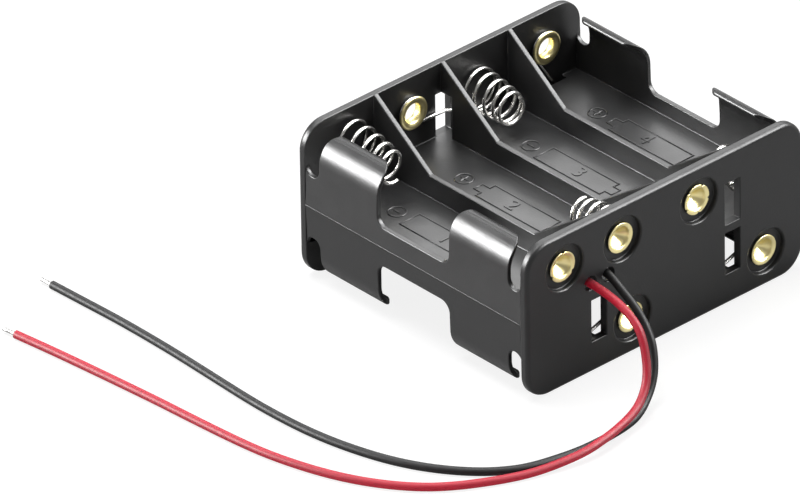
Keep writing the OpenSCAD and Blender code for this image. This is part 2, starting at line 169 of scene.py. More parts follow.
# %% Routes of the leads
LEAD_D = 1.5 * MM
OUTER_Y = 28.5
PLATE_Y, INSIDE_Y = -OUTER_Y, -26.3
RED_ROUTE = [
    (-17.4, INSIDE_Y, 17.8), (-17.4, PLATE_Y, 17.8), (-17.4, -32, 17.5), (-17.3, -36.3, 16.4),
    (-17.3, -40.2, 13.8), (-17.8, -42.4, 9.4), (-19.3, -43.9, 5.6), (-22.6, -45.3, 3.1),
    (-27.3, -46.5, 2.2), (-33, -47.5, 1.9), (-38.5, -47.4, 1.4), (-46.5, -45.5, 0.8),
    (-54.5, -42.1, 0.8), (-62, -37, 0.8), (-67.8, -29.8, 0.8), (-72, -21, 0.8), (-74.9, -10, 0.8),
    (-76.2, 2, 0.8), (-77, 14, 0.8), (-78, 26, 0.8), (-79.1, 37.5, 0.8), (-80.2, 47, 0.8),
]
BLACK_ROUTE = [
    (-13.3, INSIDE_Y, 17.8), (-13.3, PLATE_Y, 17.8), (-13.3, -32, 16), (-13.3, -36, 13.4),
    (-13.7, -39.4, 9.5), (-15.2, -41.5, 5), (-18.2, -43, 1.9), (-22.8, -44.9, 0.8),
    (-28.5, -45.9, 0.8), (-35, -46, 0.8), (-41, -45.1, 0.8), (-47, -43.3, 0.8),
    (-52.4, -39.6, 0.8), (-57.2, -33.9, 0.8), (-60.9, -27, 0.8), (-63.5, -18.8, 0.8),
    (-65.1, -9.5, 0.8), (-65.6, 1.5, 0.8), (-65.2, 13, 0.8), (-64.7, 25, 0.8), (-64.6, 37, 0.8),
    (-64.9, 46.5, 0.8), (-65.2, 54.6, 0.8),
]
print("points:", len(RED_ROUTE), "red and", len(BLACK_ROUTE), "black")

# %% [markdown]
# A soft lead has no corners, so the points need a smooth line through them. Bezier handles would
# do, but they have to be set by hand. The four-point rule adds a point between each pair from the
# two neighbours on either side. It passes through every point that was chosen, and three rounds of
# it are smooth enough.

# %% Smooth lines
SMOOTH_ROUNDS = 3


def smoothed(points):
    """The line with one more point between each pair, by the four-point rule."""
    last = len(points) - 1
    out = []
    for i in range(last):
        before, after = points[max(i - 1, 0)], points[min(i + 2, last)]
        out += [points[i], (9 * (points[i] + points[i + 1]) - before - after) / 16]
    return out + [points[last]]


def route_in_metres(route):
    """Smooth line through a route that is given in millimetres."""
    points = [Vector(p) * MM for p in route]
    for _ in range(SMOOTH_ROUNDS):
        points = smoothed(points)
    return points


def line_length(points):
    """Length of a line of points."""
    return sum((b - a).length for a, b in zip(points, points[1:]))


red_points = route_in_metres(RED_ROUTE)
black_points = route_in_metres(BLACK_ROUTE)
print("red lead: %.1f mm" % (line_length(red_points) / MM))
print("black lead: %.1f mm" % (line_length(black_points) / MM))

# %% [markdown]
# The insulation is a tube of one diameter. It could be skinned by hand or swept by Geometry Nodes,
# but a curve with a round bevel is the shortest way: the tube stays exact however the line bends,
# and its length can be measured along the curve.

# %% Leads
def lead_curve(name, points, material):
    """Round insulation along a line of points."""
    data = bpy.data.curves.new(name, "CURVE")
    data.dimensions = "3D"
    data.bevel_depth = LEAD_D / 2
    data.bevel_resolution = 6
    data.use_fill_caps = True
    spline = data.splines.new("POLY")
    spline.points.add(len(points) - 1)
    for target, point in zip(spline.points, points):
        target.co = (*point, 1)
    spline.use_smooth = True
    data.materials.append(material)
    return add_object(name, data)


red_lead = lead_curve("red_lead_insulation", red_points, red_pvc)
black_lead = lead_curve("black_lead_insulation", black_points, black_pvc)
print("curves:", red_lead.name, black_lead.name)

# %% [markdown]
# The imported model has a plain solid for each lead. The curve takes its place in the picture, while
# the solid stays in the model for collision. Two calls say so: the body that the curve rides on, and
# the solid that it stands for.

# %% Put the leads in place of their solids
for lead, colour in ((red_lead, "red"), (black_lead, "black")):
    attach(lead, "root")
    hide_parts(colour + "_lead")
    print(lead.name, "stands for", colour + "_lead")

# %% [markdown]
# These sizes say where the bays and the eyelets are, in millimetres, as the solids have them. They
# are repeated from the solid model, so that every new piece can be built in its place. The two
# layers mirror each other at mid height, so heights are given from there.

# %% Sizes of the bays
BAY_PITCH = 15.5
HALF_LENGTH = 26.8
MID = 15.0
WEB_HALF = 0.8
EYELET_H = 8.3
NINTH_ASIDE = 2.2
FRONT, REAR = -1, 1


def bay_x(bay):
    """X of the middle of a bay."""
    return (bay - 2.5) * BAY_PITCH


def divider_x(k):
    """X of the divider between bay k and the next."""
    return (k - 2) * BAY_PITCH


# Name: end plate, X and height from mid height.
EYELETS = {
    "top_1": (FRONT, bay_x(1), EYELET_H), "top_2": (REAR, bay_x(2), EYELET_H),
    "top_3": (FRONT, bay_x(3), EYELET_H), "top_4": (REAR, bay_x(4), EYELET_H),
    "bottom_1": (REAR, bay_x(1), -EYELET_H), "bottom_2": (FRONT, bay_x(2), -EYELET_H),
    "bottom_3": (REAR, bay_x(3), -EYELET_H), "bottom_4": (FRONT, bay_x(4), -EYELET_H),
    "negative": (FRONT, bay_x(2) - NINTH_ASIDE, EYELET_H),
}

# %% [markdown]
# The moulding is black, tough plastic with a low sheen. The mould leaves a faint texture, so the
# roughness wanders a little and a very shallow bump breaks up the reflections. The side walls are
# given less gloss below mid height than above it. This is painted shade: the lower half mirrors
# less, as it would where it faces the shaded floor next to the holder. Two materials would split
# each wall, so one shader reads the height instead, and keeps the end plates at the lower value.

# %% Moulded plastic
# The lower gloss is painted shade, which darkens the lower half of each side wall.
PAINTED_SHADE_GLOSS, UPPER_GLOSS = 0.26, 0.4
WALL_END, BLEND = 26.9, 0.2


def maths_node(tree, operation, first, second=0.0):
    """Maths on two values, each a number or a socket. Returns the socket of the result."""
    node = tree.nodes.new("ShaderNodeMath")
    node.operation = operation
    for socket, value in zip(node.inputs, (first, second)):
        if isinstance(value, bpy.types.NodeSocket):
            tree.links.new(value, socket)
        else:
            socket.default_value = value
    return node.outputs[0]


moulded, tree, shader = new_finish(
    "moulded_black", (0.024, 0.024, 0.0245), metallic=0, roughness=0.36, specular=0.36)
vary(tree, add_noise(tree, 260, detail=4), 0.31, 0.41, shader.inputs["Roughness"])
add_bump(tree, shader, add_noise(tree, 2600, detail=2), 0.012 * MM)
spot = tree.nodes.new("ShaderNodeTexCoord")
axes = tree.nodes.new("ShaderNodeSeparateXYZ")
tree.links.new(spot.outputs["Object"], axes.inputs[0])
from_middle = maths_node(tree, "ABSOLUTE", axes.outputs["Y"])
on_wall = maths_node(tree, "LESS_THAN", from_middle, WALL_END * MM)
painted_shade_height = maths_node(tree, "MULTIPLY", on_wall, axes.outputs["Z"])
# Painted shade: below mid height the side walls mirror less than above it.
vary(
    tree, painted_shade_height, PAINTED_SHADE_GLOSS, UPPER_GLOSS, shader.inputs["Specular IOR Level"],
    (MID - BLEND) * MM, (MID + BLEND) * MM)
print("nodes of the plastic:", len(tree.nodes))

# %% [markdown]
# The edges of a moulding are never sharp, and the bevels catch the light as thin bright lines,
# which is most of what makes a dark moulding readable. A bevel in the shader would be lost in the
# export, so the edges get real ones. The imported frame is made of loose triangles, so a copy is
# merged and its flat faces are joined into large ones first. Then every sharp edge gets a weight:
# the rims of the recesses are rounded widely, and all other edges narrowly.

# %% Edges to bevel
RECESS_R, WIDE, NARROW = 4.25, 0.36, 0.18
ON_FACE, ON_RIM = 0.02, 0.03
SHARP, FLAT = math.radians(35), math.radians(0.5)
SAME_CORNER = 0.002 * MM


def on_recess(edge):
    """Whether an edge lies on the rim of an eyelet's recess in an end plate's outer face."""
    for corner in edge.verts:
        x, y, z = corner.co / MM
        if abs(abs(y) - OUTER_Y) > ON_FACE:
            return False
        away = (math.hypot(x - cx, z - MID - height) for _, cx, height in EYELETS.values())
        if min(abs(distance - RECESS_R) for distance in away) > ON_RIM:
            return False
    return True


def merged_copy(node, name):
    """Copy of a node with shared corners, large flat faces and weights on its sharp edges."""
    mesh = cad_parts[node].data.copy()
    mesh.name = name
    work = bmesh.new()
    work.from_mesh(mesh)
    bmesh.ops.remove_doubles(work, verts=work.verts, dist=SAME_CORNER)
    bmesh.ops.dissolve_limit(
        work, angle_limit=FLAT, verts=work.verts, edges=work.edges, use_dissolve_boundaries=False)
    for face in work.faces:
        face.smooth = True
    weight = work.edges.layers.float.new("bevel_weight_edge")
    for edge in work.edges:
        if edge.is_manifold and edge.calc_face_angle() > SHARP:
            edge[weight] = 1.0 if on_recess(edge) else NARROW / WIDE
    work.to_mesh(mesh)
    work.free()
    return add_object(name, mesh)


body = merged_copy("holder_frame", "moulded_body")
print("faces before the bevel:", len(body.data.polygons))

# %% [markdown]
# A Bevel modifier rounds the weighted edges, and a Weighted Normal modifier keeps the large faces
# flat in the light, where plain smooth shading would bend them. Both are applied here, because a
# piece has to be a plain mesh before it is put on its body.

# %% Bevelled copy of the frame
def as_mesh(piece):
    """Replaces a piece's mesh by what its modifiers make, and removes them."""
    graph = bpy.context.evaluated_depsgraph_get()
    mesh = bpy.data.meshes.new_from_object(piece.evaluated_get(graph))
    piece.modifiers.clear()
    old = piece.data
    piece.data = mesh
    if old.users == 0:
        bpy.data.meshes.remove(old)


bevel = body.modifiers.new("edges", "BEVEL")
bevel.width = WIDE * MM
bevel.segments = 3
bevel.limit_method = "WEIGHT"
bevel.use_clamp_overlap = False
level = body.modifiers.new("flat_faces", "WEIGHTED_NORMAL")
level.mode = "FACE_AREA"
level.weight = 100
level.keep_sharp = True
as_mesh(body)
body.data.materials.clear()
body.data.materials.append(moulded)
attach(body, "root")
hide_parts("holder_frame")
print("frame faces:", len(body.data.polygons))

# %% [markdown]
# Springs, eyelets, strands and raised lines each repeat one rule with other numbers, so they are
# made by Geometry Nodes. Each tree is built here node by node, with a small helper that adds and
# links the nodes. Every tree ends in the same way: smooth shading, real geometry in place of
# instances, and the material.

# %% Helper for Geometry Nodes
KINDS = {
    "length": "NodeSocketFloat", "count": "NodeSocketInt", "vector": "NodeSocketVector",
    "material": "NodeSocketMaterial",
}


class Tree:
    """Adds nodes to one geometry tree and links them."""

    def __init__(self, name, sizes):
        self.group = bpy.data.node_groups.new(name, "GeometryNodeTree")
        face = self.group.interface
        face.new_socket("Geometry", in_out="INPUT", socket_type="NodeSocketGeometry")
        for label, kind in sizes.items():
            face.new_socket(label, in_out="INPUT", socket_type=KINDS[kind])
        face.new_socket("Geometry", in_out="OUTPUT", socket_type="NodeSocketGeometry")
        self.inputs = self.group.nodes.new("NodeGroupInput").outputs

    def node(self, kind, values=(), **settings):
        """Adds a node. Values are numbers or sockets by the input's name or number."""
        node = self.group.nodes.new(kind)
        for key, value in settings.items():
            setattr(node, key, value)
        for key, value in dict(values).items():
            if isinstance(value, bpy.types.NodeSocket):
                self.group.links.new(value, node.inputs[key])
            else:
                node.inputs[key].default_value = value
        return node

    def maths(self, operation, a, b=0.0, c=0.0):
        """Maths on up to three values. Returns the socket of the result."""
        values = {0: a, 1: b, 2: c}
        return self.node("ShaderNodeMath", values, operation=operation).outputs[0]

    def finish(self, geometry, material):
        """Smooth shading, real geometry and the material close every tree."""
        smooth = self.node("GeometryNodeSetShadeSmooth", {"Geometry": geometry}).outputs[0]
        real = self.node("GeometryNodeRealizeInstances", {"Geometry": smooth}).outputs[0]
        done = self.node("GeometryNodeSetMaterial", {"Geometry": real, "Material": material})
        out = self.group.nodes.new("NodeGroupOutput")
        self.group.links.new(done.outputs[0], out.inputs[0])
        print(self.group.name, "has", len(self.group.nodes), "nodes")


print("kinds of input:", ", ".join(KINDS))

# %% [markdown]
# A tree works on an object's mesh, which here is mostly a row of corners. The script sets the
# modifier's inputs by the identifier of each socket, because two inputs may share a name. The
# result is frozen to a plain mesh and the modifier is removed.

# %% Helpers that run a tree
def line_mesh(name, points):
    """Mesh of corners joined in a row by edges."""
    mesh = bpy.data.meshes.new(name)
    edges = [(i, i + 1) for i in range(len(points) - 1)]
    mesh.from_pydata([tuple(p) for p in points], edges, [])
    return mesh


def grow(name, mesh, tree, sizes):
    """Object whose mesh is what the tree makes of the given mesh."""
    piece = add_object(name, mesh)
    modifier = piece.modifiers.new(tree.group.name, "NODES")
    modifier.node_group = tree.group
    for item in tree.group.interface.items_tree:
        if item.in_out == "INPUT" and item.name in sizes:
            modifier[item.identifier] = sizes[item.name]
    as_mesh(piece)
    piece.data.name = name
    print(name, len(piece.data.polygons), "faces")
    return piece


# %% [markdown]
# Spring wire is nickel-plated steel: a slightly warm, shiny grey. Drawing and handling the wire
# leave it a little duller here and there. A mirror finish would sparkle on wire as thin as this, so
# the roughness stays in a narrow range well above zero.

# %% Nickel
nickel, tree, shader = new_finish(
    "nickel_wire", (0.6, 0.59, 0.57), metallic=1, roughness=0.24, specular=0.5)
vary(tree, add_noise(tree, 1500), 0.21, 0.27, shader.inputs["Roughness"])
print("finish:", nickel.name)

# %% [markdown]
# A spring's wire starts as a loop that is clamped under an eyelet's flange. It runs straight along
# the plate to its bay, may lie flat there for part of a turn, and then climbs as a cone. The loop
# and the straight run are given as points. The coil follows a rule: the angle grows evenly, the
# radius shrinks, the turns come closer together towards the tip, as the end turns of a spring do,
# and the tip may hang down a little. A Screw modifier can't close up the turns, so the tree moves
# the coil's points by that rule, and sweeps a round section along the whole line.

# %% Tree for a spring
spring_tree = Tree("coil_and_sweep", {
    "First coil point": "count", "Points per turn": "count", "Flat turns": "length",
    "Rising turns": "length", "Foot radius": "length", "Tip radius": "length", "Rise": "length",
    "Start angle": "length", "Turn": "length", "Way out": "length", "Centre": "vector",
    "Wire diameter": "length", "Sides": "count", "Closing": "length", "Lift": "length",
    "Droop": "length", "Material": "material",
})
t, g = spring_tree, spring_tree.inputs
index = t.node("GeometryNodeInputIndex").outputs[0]
step = t.maths("SUBTRACT", index, g["First coil point"])
turns = t.maths("DIVIDE", step, g["Points per turn"])
rising = t.maths("MAXIMUM", t.maths("SUBTRACT", turns, g["Flat turns"]), 0.0)
share = t.maths("DIVIDE", rising, g["Rising turns"])
squared = t.maths("MULTIPLY", share, share)
rest = t.maths("SUBTRACT", 1.0, share)
ahead = t.maths("MULTIPLY", squared, t.maths("MULTIPLY", rest, g["Closing"]))
height = t.maths("MULTIPLY_ADD", t.maths("ADD", share, ahead), g["Rise"], g["Lift"])
taper = t.maths("SUBTRACT", g["Tip radius"], g["Foot radius"])
radius = t.maths("MULTIPLY_ADD", share, taper, g["Foot radius"])
winding = t.maths("MULTIPLY", g["Turn"], math.tau)
angle = t.maths("MULTIPLY_ADD", turns, winding, g["Start angle"])
fall = t.maths("MULTIPLY", squared, t.maths("MULTIPLY", g["Droop"], -1.0))
offset = t.node("ShaderNodeCombineXYZ", {
    0: t.maths("MULTIPLY", radius, t.maths("COSINE", angle)),
    1: t.maths("MULTIPLY", height, g["Way out"]),
    2: t.maths("MULTIPLY_ADD", radius, t.maths("SINE", angle), fall),
}).outputs[0]
place = t.node("ShaderNodeVectorMath", {0: offset, 1: g["Centre"]}, operation="ADD").outputs[0]
in_coil = t.node(
    "FunctionNodeCompare", {0: step, 1: -0.5}, data_type="FLOAT", operation="GREATER_THAN",
).outputs[0]
moved = t.node(
    "GeometryNodeSetPosition", {"Geometry": g["Geometry"], "Selection": in_coil, "Position": place})
line = t.node("GeometryNodeMeshToCurve", {"Mesh": moved.outputs[0]}).outputs[0]
section = t.node("GeometryNodeCurvePrimitiveCircle", {
    "Resolution": g["Sides"], "Radius": t.maths("MULTIPLY", g["Wire diameter"], 0.5)})
swept = t.node("GeometryNodeCurveToMesh", {
    "Curve": line, "Profile Curve": section.outputs[0], "Fill Caps": True})
t.finish(swept.outputs[0], g["Material"])

# %% [markdown]
# The wire sits where the solids have theirs, but it is drawn a little thinner, and the three
# springs that are seen best have lengths and turns of their own. The table has a row for each
# spring, in millimetres, so that one function can make them all.

# %% Sizes of the springs
WIRE_D, WIRE_SEEN = 0.72, 0.66
SEAT_GAP = 0.02
SHANK_R = 2.2
SEAT_Y = HALF_LENGTH - WIRE_D / 2 - SEAT_GAP
LOOP_R = SHANK_R + WIRE_D / 2 + SEAT_GAP
LOOP_ANGLE = math.radians(240)
FLANGE_R, FLANGE_LIFT = 3.4, 0.8
FOOT_R, TIP_R = 3.79, 2.59
STEPS, SIDES = 36, 14
CELL_H = 8.05
SLOT_X = 2.2
LOW_PASS, HIGH_PASS = 5.4, 8.28

# Name: end plate, foot's centre, free length, turns that lie flat, turns that rise, how much they
# close up, how far the tip hangs down, the eyelet, and the point that the wire passes on its way
# through the frame. The spring without such a point hangs on an eyelet of its own bay.
SPRINGS = {
    "top_1": (REAR, (bay_x(1) + 1.29, CELL_H + 0.8), 11.7, 0.0, 4.87, 0.4, 1.2, "bottom_1",
              (bay_x(1) + SLOT_X, 0)),
    "top_2": (FRONT, (bay_x(2), CELL_H - 0.8), 11.2, 0.0, 4.8, 0.3, 0.0, "negative", None),
    "top_3": (REAR, (bay_x(3), CELL_H - 1.59), 9.3, 0.5, 4.95, 0.9, 0.6, "top_2",
              (divider_x(2), LOW_PASS)),
    "top_4": (FRONT, (bay_x(4), CELL_H - 3.06), 10, 1.0, 4.6, 0.6, 0.0, "top_3",
              (divider_x(3), HIGH_PASS)),
    "bottom_1": (FRONT, (bay_x(1), -CELL_H), 10, 1.0, 4.6, 0.6, 0.0, "bottom_2",
                 (divider_x(1), -HIGH_PASS)),
    "bottom_2": (REAR, (bay_x(2), -CELL_H), 10, 1.0, 4.6, 0.6, 0.0, "bottom_3",
                 (divider_x(2), -LOW_PASS)),
    "bottom_3": (FRONT, (bay_x(3), -CELL_H), 10, 1.0, 4.6, 0.6, 0.0, "bottom_4",
                 (divider_x(3), -HIGH_PASS)),
    "bottom_4": (REAR, (bay_x(4), -CELL_H), 10, 1.0, 4.6, 0.6, 0.0, "top_4",
                 (bay_x(4) + SLOT_X, 0)),
}
print("springs:", len(SPRINGS), "with a foot %.2f mm across" % (2 * FOOT_R + WIRE_SEEN))

# %% [markdown]
# The wire lies flat on the inner face of its plate until the coil begins. A bent wire leaves a loop
# along a tangent and meets the next one along a tangent too, so those angles are worked out. Drawn
# by eye they would leave kinks.

# %% Wire along a plate
def tangent_angle(centre, radius, point, turn):
    """Angle at which a wire round a circle leaves on a straight line to a point."""
    dx, dz = point[0] - centre[0], point[1] - centre[1]
    return math.atan2(dz, dx) + turn * math.acos(radius / math.hypot(dx, dz))


def at_plate(end, centre, radius, angle):
    """Point on the inner face of a plate, on a circle round a centre."""
    x = centre[0] + radius * math.cos(angle)
    z = MID + centre[1] + radius * math.sin(angle)
    return Vector((x, end * SEAT_Y, z)) * MM


def loop_points(end, eye, leave, side):
    """Loop round an eyelet that ends where the wire leaves it."""
    steps = round(STEPS * LOOP_ANGLE / math.tau)
    return [
        at_plate(end, eye, LOOP_R, leave - side * LOOP_ANGLE * i / steps)
        for i in range(steps, -1, -1)
    ]


print("a loop has %d points" % len(loop_points(FRONT, (0, 0), 0, 1)))

# %% [markdown]
# Now each row of the table becomes a spring. Most wires reach their coil through a window or a slot
# of the frame. One hangs on an eyelet of its own bay, so it climbs over that eyelet's flange before
# the coil begins. The coil's points all start at its centre, and the tree moves them.

# %% Springs
def make_spring(name, end, foot, length, flat, rising, closing, droop, eyelet, passing):
    """Spring from its loop to its tip."""
    eye = EYELETS[eyelet][1:]
    lift, start = 0.0, 0.0
    if passing:
        points = loop_points(end, eye, tangent_angle(eye, LOOP_R, passing, -1), 1)
        points.append(at_plate(end, passing, 0, 0))
        start = tangent_angle(foot, FOOT_R, passing, end)
    else:
        target = (foot[0] + FOOT_R, foot[1])
        points = loop_points(end, eye, tangent_angle(eye, LOOP_R, target, 1), -1)
        way = at_plate(end, target, 0, 0) - points[-1]
        clear = math.sqrt((FLANGE_R + WIRE_D) ** 2 - LOOP_R ** 2) * MM
        points.append(points[-1] + way.normalized() * clear)
        lift = FLANGE_LIFT
    first_coil = len(points)
    centre = at_plate(end, foot, 0, 0)
    points += [centre] * (round((flat + rising) * STEPS) + 1)
    return grow(name, line_mesh(name, points), spring_tree, {
        "First coil point": first_coil, "Points per turn": STEPS, "Flat turns": flat,
        "Rising turns": rising, "Foot radius": FOOT_R * MM, "Tip radius": TIP_R * MM,
        "Rise": (length - WIRE_D - SEAT_GAP - lift) * MM, "Start angle": start,
        "Turn": float(end), "Way out": float(-end), "Centre": centre,
        "Wire diameter": WIRE_SEEN * MM, "Sides": SIDES, "Closing": closing, "Lift": lift * MM,
        "Droop": droop * MM, "Material": nickel,
    })


for name, facts in SPRINGS.items():
    spring = make_spring("coil_" + name, *facts)
    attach(spring, "root")
    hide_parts("spring_" + name)

# %% [markdown]
# The eyelets are bare brass, a pale yellow metal that soon loses its mirror shine. It gets a higher
# roughness than the nickel, which also keeps the small bores calm.

# %% Brass
brass, tree, shader = new_finish(
    "brass", (0.72, 0.63, 0.32), metallic=1, roughness=0.3, specular=0.5)
vary(tree, add_noise(tree, 1100), 0.3, 0.36, shader.inputs["Roughness"])
print("finish:", brass.name)

# %% [markdown]
# An eyelet is a short brass tube. Its flange, inside the bay, was there from the start. The other
# end was flared and pressed down in its recess when it was set. The eyelets at the front narrow to
# a funnel, and those at the rear have an open throat. Rims and flanges are drawn a little narrower
# than the solids have them. A closed section is spun round an axis, because all of an eyelet except
# its splits is round.

# %% Section of an eyelet
# Radius, and distance outwards from the plate's inner face.
BORES = {
    FRONT: [
        (1.9, -1.0), (1.2, -0.99), (0.5, -0.98), (0.05, -0.97), (0.05, -0.8), (0.3, -0.78),
        (0.56, -0.66), (0.9, -0.34), (1.24, -0.01), (1.56, 0.3), (1.8, 0.54), (1.92, 0.72),
        (2.0, 0.9), (2.1, 1.02), (2.26, 1.1),
    ],
    REAR: [
        (1.96, -1.0), (1.84, -0.86), (1.72, -0.6), (1.62, -0.3), (1.56, 0.0), (1.6, 0.25),
        (1.72, 0.5), (1.93, 0.76), (2.16, 0.96), (2.34, 1.07),
    ],
}
FLARE = [(2.48, 1.14), (2.64, 1.19), (2.76, 1.18), (2.82, 1.11), (2.8, 1.02), (2.7, 0.94)]
BACK = [(2.6, 0.8), (2.38, 0.55), (2.24, 0.3), (2.2, 0.0), (2.2, -0.7)]
FLANGE = [(2.26, -0.76), (2.8, -0.77), (3.02, -0.78), (3.13, -0.84), (3.15, -0.93), (3.1, -1.02)]
FACE = [(3.0, -1.09), (2.84, -1.14), (2.64, -1.16), (2.44, -1.15), (2.24, -1.1), (2.04, -1.02)]
OUTSIDE = FLARE + BACK + FLANGE + FACE
SEGMENTS = 96


def spun(name, section):
    """Closed section turned round the Z axis."""
    work = bmesh.new()
    rows = []
    for k in range(SEGMENTS):
        turn = math.tau * k / SEGMENTS
        rows.append([
            work.verts.new(Vector((r * math.cos(turn), r * math.sin(turn), z)) * MM)
            for r, z in section
        ])
    for k in range(SEGMENTS):
        row, after = rows[k], rows[(k + 1) % SEGMENTS]
        for i in range(len(section)):
            j = (i + 1) % len(section)
            work.faces.new((row[i], after[i], after[j], row[j]))
    bmesh.ops.recalc_face_normals(work, faces=work.faces)
    mesh = bpy.data.meshes.new(name)
    work.to_mesh(mesh)
    work.free()
    return mesh


print("corners of a section:", [len(BORES[end] + OUTSIDE) for end in (FRONT, REAR)])

# %% [markdown]
# Brass often splits into petals where it is flared. Cutting the mesh would leave raw edges. The
# tree draws the rim back instead wherever a split belongs, more the nearer a point is to the edge
# of the flare. Then it turns the eyelet to its plate and moves it to its place.

# %% Tree for an eyelet
eyelet_tree = Tree("flare_with_splits", {
    "Petals": "count", "Split width": "length", "Split depth": "length", "First split": "length",
    "Shank radius": "length", "Flare radius": "length", "Turn": "vector", "Place": "vector",
    "Material": "material",
})
t, g = eyelet_tree, eyelet_tree.inputs
position = t.node("GeometryNodeInputPosition").outputs[0]
axes = t.node("ShaderNodeSeparateXYZ", {0: position}).outputs
around = t.maths("ADD", t.maths("ARCTAN2", axes[1], axes[0]), g["First split"])
phase = t.maths("MULTIPLY", around, t.maths("DIVIDE", g["Petals"], math.tau))
near = t.maths("ABSOLUTE", t.maths("SUBTRACT", phase, t.maths("ROUND", phase)))
split = t.node("ShaderNodeMapRange", {
    "Value": near, "From Min": g["Split width"], "From Max": 0.0, "To Min": 0.0,
    "To Max": g["Split depth"],
}).outputs[0]
reach = t.maths("SQRT", t.maths(
    "ADD", t.maths("MULTIPLY", axes[0], axes[0]), t.maths("MULTIPLY", axes[1], axes[1])))
outer = t.node("ShaderNodeMapRange", {
    "Value": reach, "From Min": g["Shank radius"], "From Max": g["Flare radius"],
}).outputs[0]
set_end = t.maths("GREATER_THAN", axes[2], 0.0)
back = t.maths("MULTIPLY", t.maths("MULTIPLY", split, outer), set_end)
keep = t.maths("SUBTRACT", 1.0, back)
drawn = t.node("ShaderNodeCombineXYZ", {
    0: t.maths("MULTIPLY", axes[0], keep), 1: t.maths("MULTIPLY", axes[1], keep), 2: axes[2],
}).outputs[0]
notched = t.node("GeometryNodeSetPosition", {"Geometry": g["Geometry"], "Position": drawn})
placed = t.node("GeometryNodeTransform", {
    "Geometry": notched.outputs[0], "Translation": g["Place"], "Rotation": g["Turn"]})
t.finish(placed.outputs[0], g["Material"])

# %% [markdown]
# No two eyelets split alike, so five of them get petals of their own and the others stay whole.
# The numbers are given, not drawn at random, so that each eyelet always looks the same.

# %% Eyelets
FLARE_R = 2.75
WHOLE = (1, 0.01, 0.0, 0.0)
# Petals, how wide the splits are as a share of a petal, how deep they are, and their angle.
SPLITS = {
    "top_1": (3, 0.07, 0.12, 0.6), "top_3": (5, 0.08, 0.15, 0.2), "bottom_2": (4, 0.06, 0.1, 1.4),
    "top_4": (4, 0.06, 0.1, 0.9), "bottom_3": (3, 0.07, 0.1, 2.0),
}
for name, (end, x, height) in EYELETS.items():
    petals, width, depth, first = SPLITS.get(name, WHOLE)
    mesh = spun("eyelet", BORES[end] + OUTSIDE)
    eyelet = grow("brass_eyelet_" + name, mesh, eyelet_tree, {
        "Petals": petals, "Split width": width, "Split depth": depth, "First split": first,
        "Shank radius": SHANK_R * MM, "Flare radius": FLARE_R * MM,
        "Turn": (math.radians(-90 * end), 0.0, 0.0),
        "Place": Vector((x, end * HALF_LENGTH, MID + height)) * MM, "Material": brass,
    })
    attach(eyelet, "root")
    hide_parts("eyelet_" + name)
print("eyelets:", len(EYELETS))

# %% [markdown]
# The leads are stranded. At the free ends the insulation is stripped, and the strands were twisted
# and dipped in solder, which leaves a grey, uneven shine. The same finish goes on the soldered
# ends under the eyelets, whose solids are kept as they are.

# %% Tinned copper
tinned, tree, shader = new_finish(
    "tinned_copper", (0.27, 0.265, 0.26), metallic=1, roughness=0.32, specular=0.5)
vary(tree, add_noise(tree, 2500), 0.25, 0.45, shader.inputs["Roughness"])
for node in ("red_lead_soldered_end", "black_lead_soldered_end"):
    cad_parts[node].data.materials.clear()
    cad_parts[node].data.materials.append(tinned)
    print(node, "is", tinned.name)

# %% [markdown]
# A rope of strands is one helix, repeated. Six separate curves would have to be kept in step by
# hand. The tree bends one straight line to a helix round the lead's axis, sets it on six points
# that share one place, each turned a sixth further, and adds a straight core.

# %% Tree for twisted strands
strand_tree = Tree("twisted_strands", {
    "Strands": "count", "Strand radius": "length", "Ring radius": "length", "Twist": "length",
    "Turn": "vector", "Place": "vector", "Material": "material",
})
t, g = strand_tree, strand_tree.inputs
core = t.node("GeometryNodeMeshToCurve", {"Mesh": g["Geometry"]}).outputs[0]
along = t.node("GeometryNodeSplineParameter").outputs[0]
winding = t.maths("MULTIPLY", along, g["Twist"])
aside = t.node("ShaderNodeCombineXYZ", {
    0: t.maths("MULTIPLY", g["Ring radius"], t.maths("COSINE", winding)),
    1: t.maths("MULTIPLY", g["Ring radius"], t.maths("SINE", winding)), 2: 0.0,
}).outputs[0]
helix = t.node("GeometryNodeSetPosition", {"Geometry": core, "Offset": aside}).outputs[0]
around = t.maths("DIVIDE", math.tau, g["Strands"])
spin = t.node("ShaderNodeCombineXYZ", {
    0: 0.0, 1: 0.0, 2: t.maths("MULTIPLY", t.node("GeometryNodeInputIndex").outputs[0], around),
}).outputs[0]
seats = t.node("GeometryNodeMeshLine", {"Count": g["Strands"], "Offset": (0, 0, 0)}).outputs[0]
section = t.node(
    "GeometryNodeCurvePrimitiveCircle", {"Resolution": 8, "Radius": g["Strand radius"]}).outputs[0]
one = t.node(
    "GeometryNodeCurveToMesh", {"Curve": helix, "Profile Curve": section, "Fill Caps": True})
ring = t.node("GeometryNodeInstanceOnPoints", {
    "Points": seats, "Instance": one.outputs[0], "Rotation": spin}).outputs[0]
middle = t.node(
    "GeometryNodeCurveToMesh", {"Curve": core, "Profile Curve": section, "Fill Caps": True})
both = t.node("GeometryNodeJoinGeometry")
t.group.links.new(ring, both.inputs[0])
t.group.links.new(middle.outputs[0], both.inputs[0])
placed = t.node("GeometryNodeTransform", {
    "Geometry": both.outputs[0], "Translation": g["Place"], "Rotation": g["Turn"]})
t.finish(placed.outputs[0], g["Material"])

# %% [markdown]
# The bare ends carry on level from where the insulation stops, and begin a little inside it, so
# that no gap shows. Their direction comes from the last points of the lead, because a typed angle
# would be wrong as soon as the route changed.

# %% Tinned ends
BARE_L, BURIED = 3.2 * MM, 0.4 * MM
STRANDS, STRAND_R, RING_R, TWIST = 6, 0.118, 0.228, 5.0
TIP_STEPS = 16
LAST_STEPS = 8


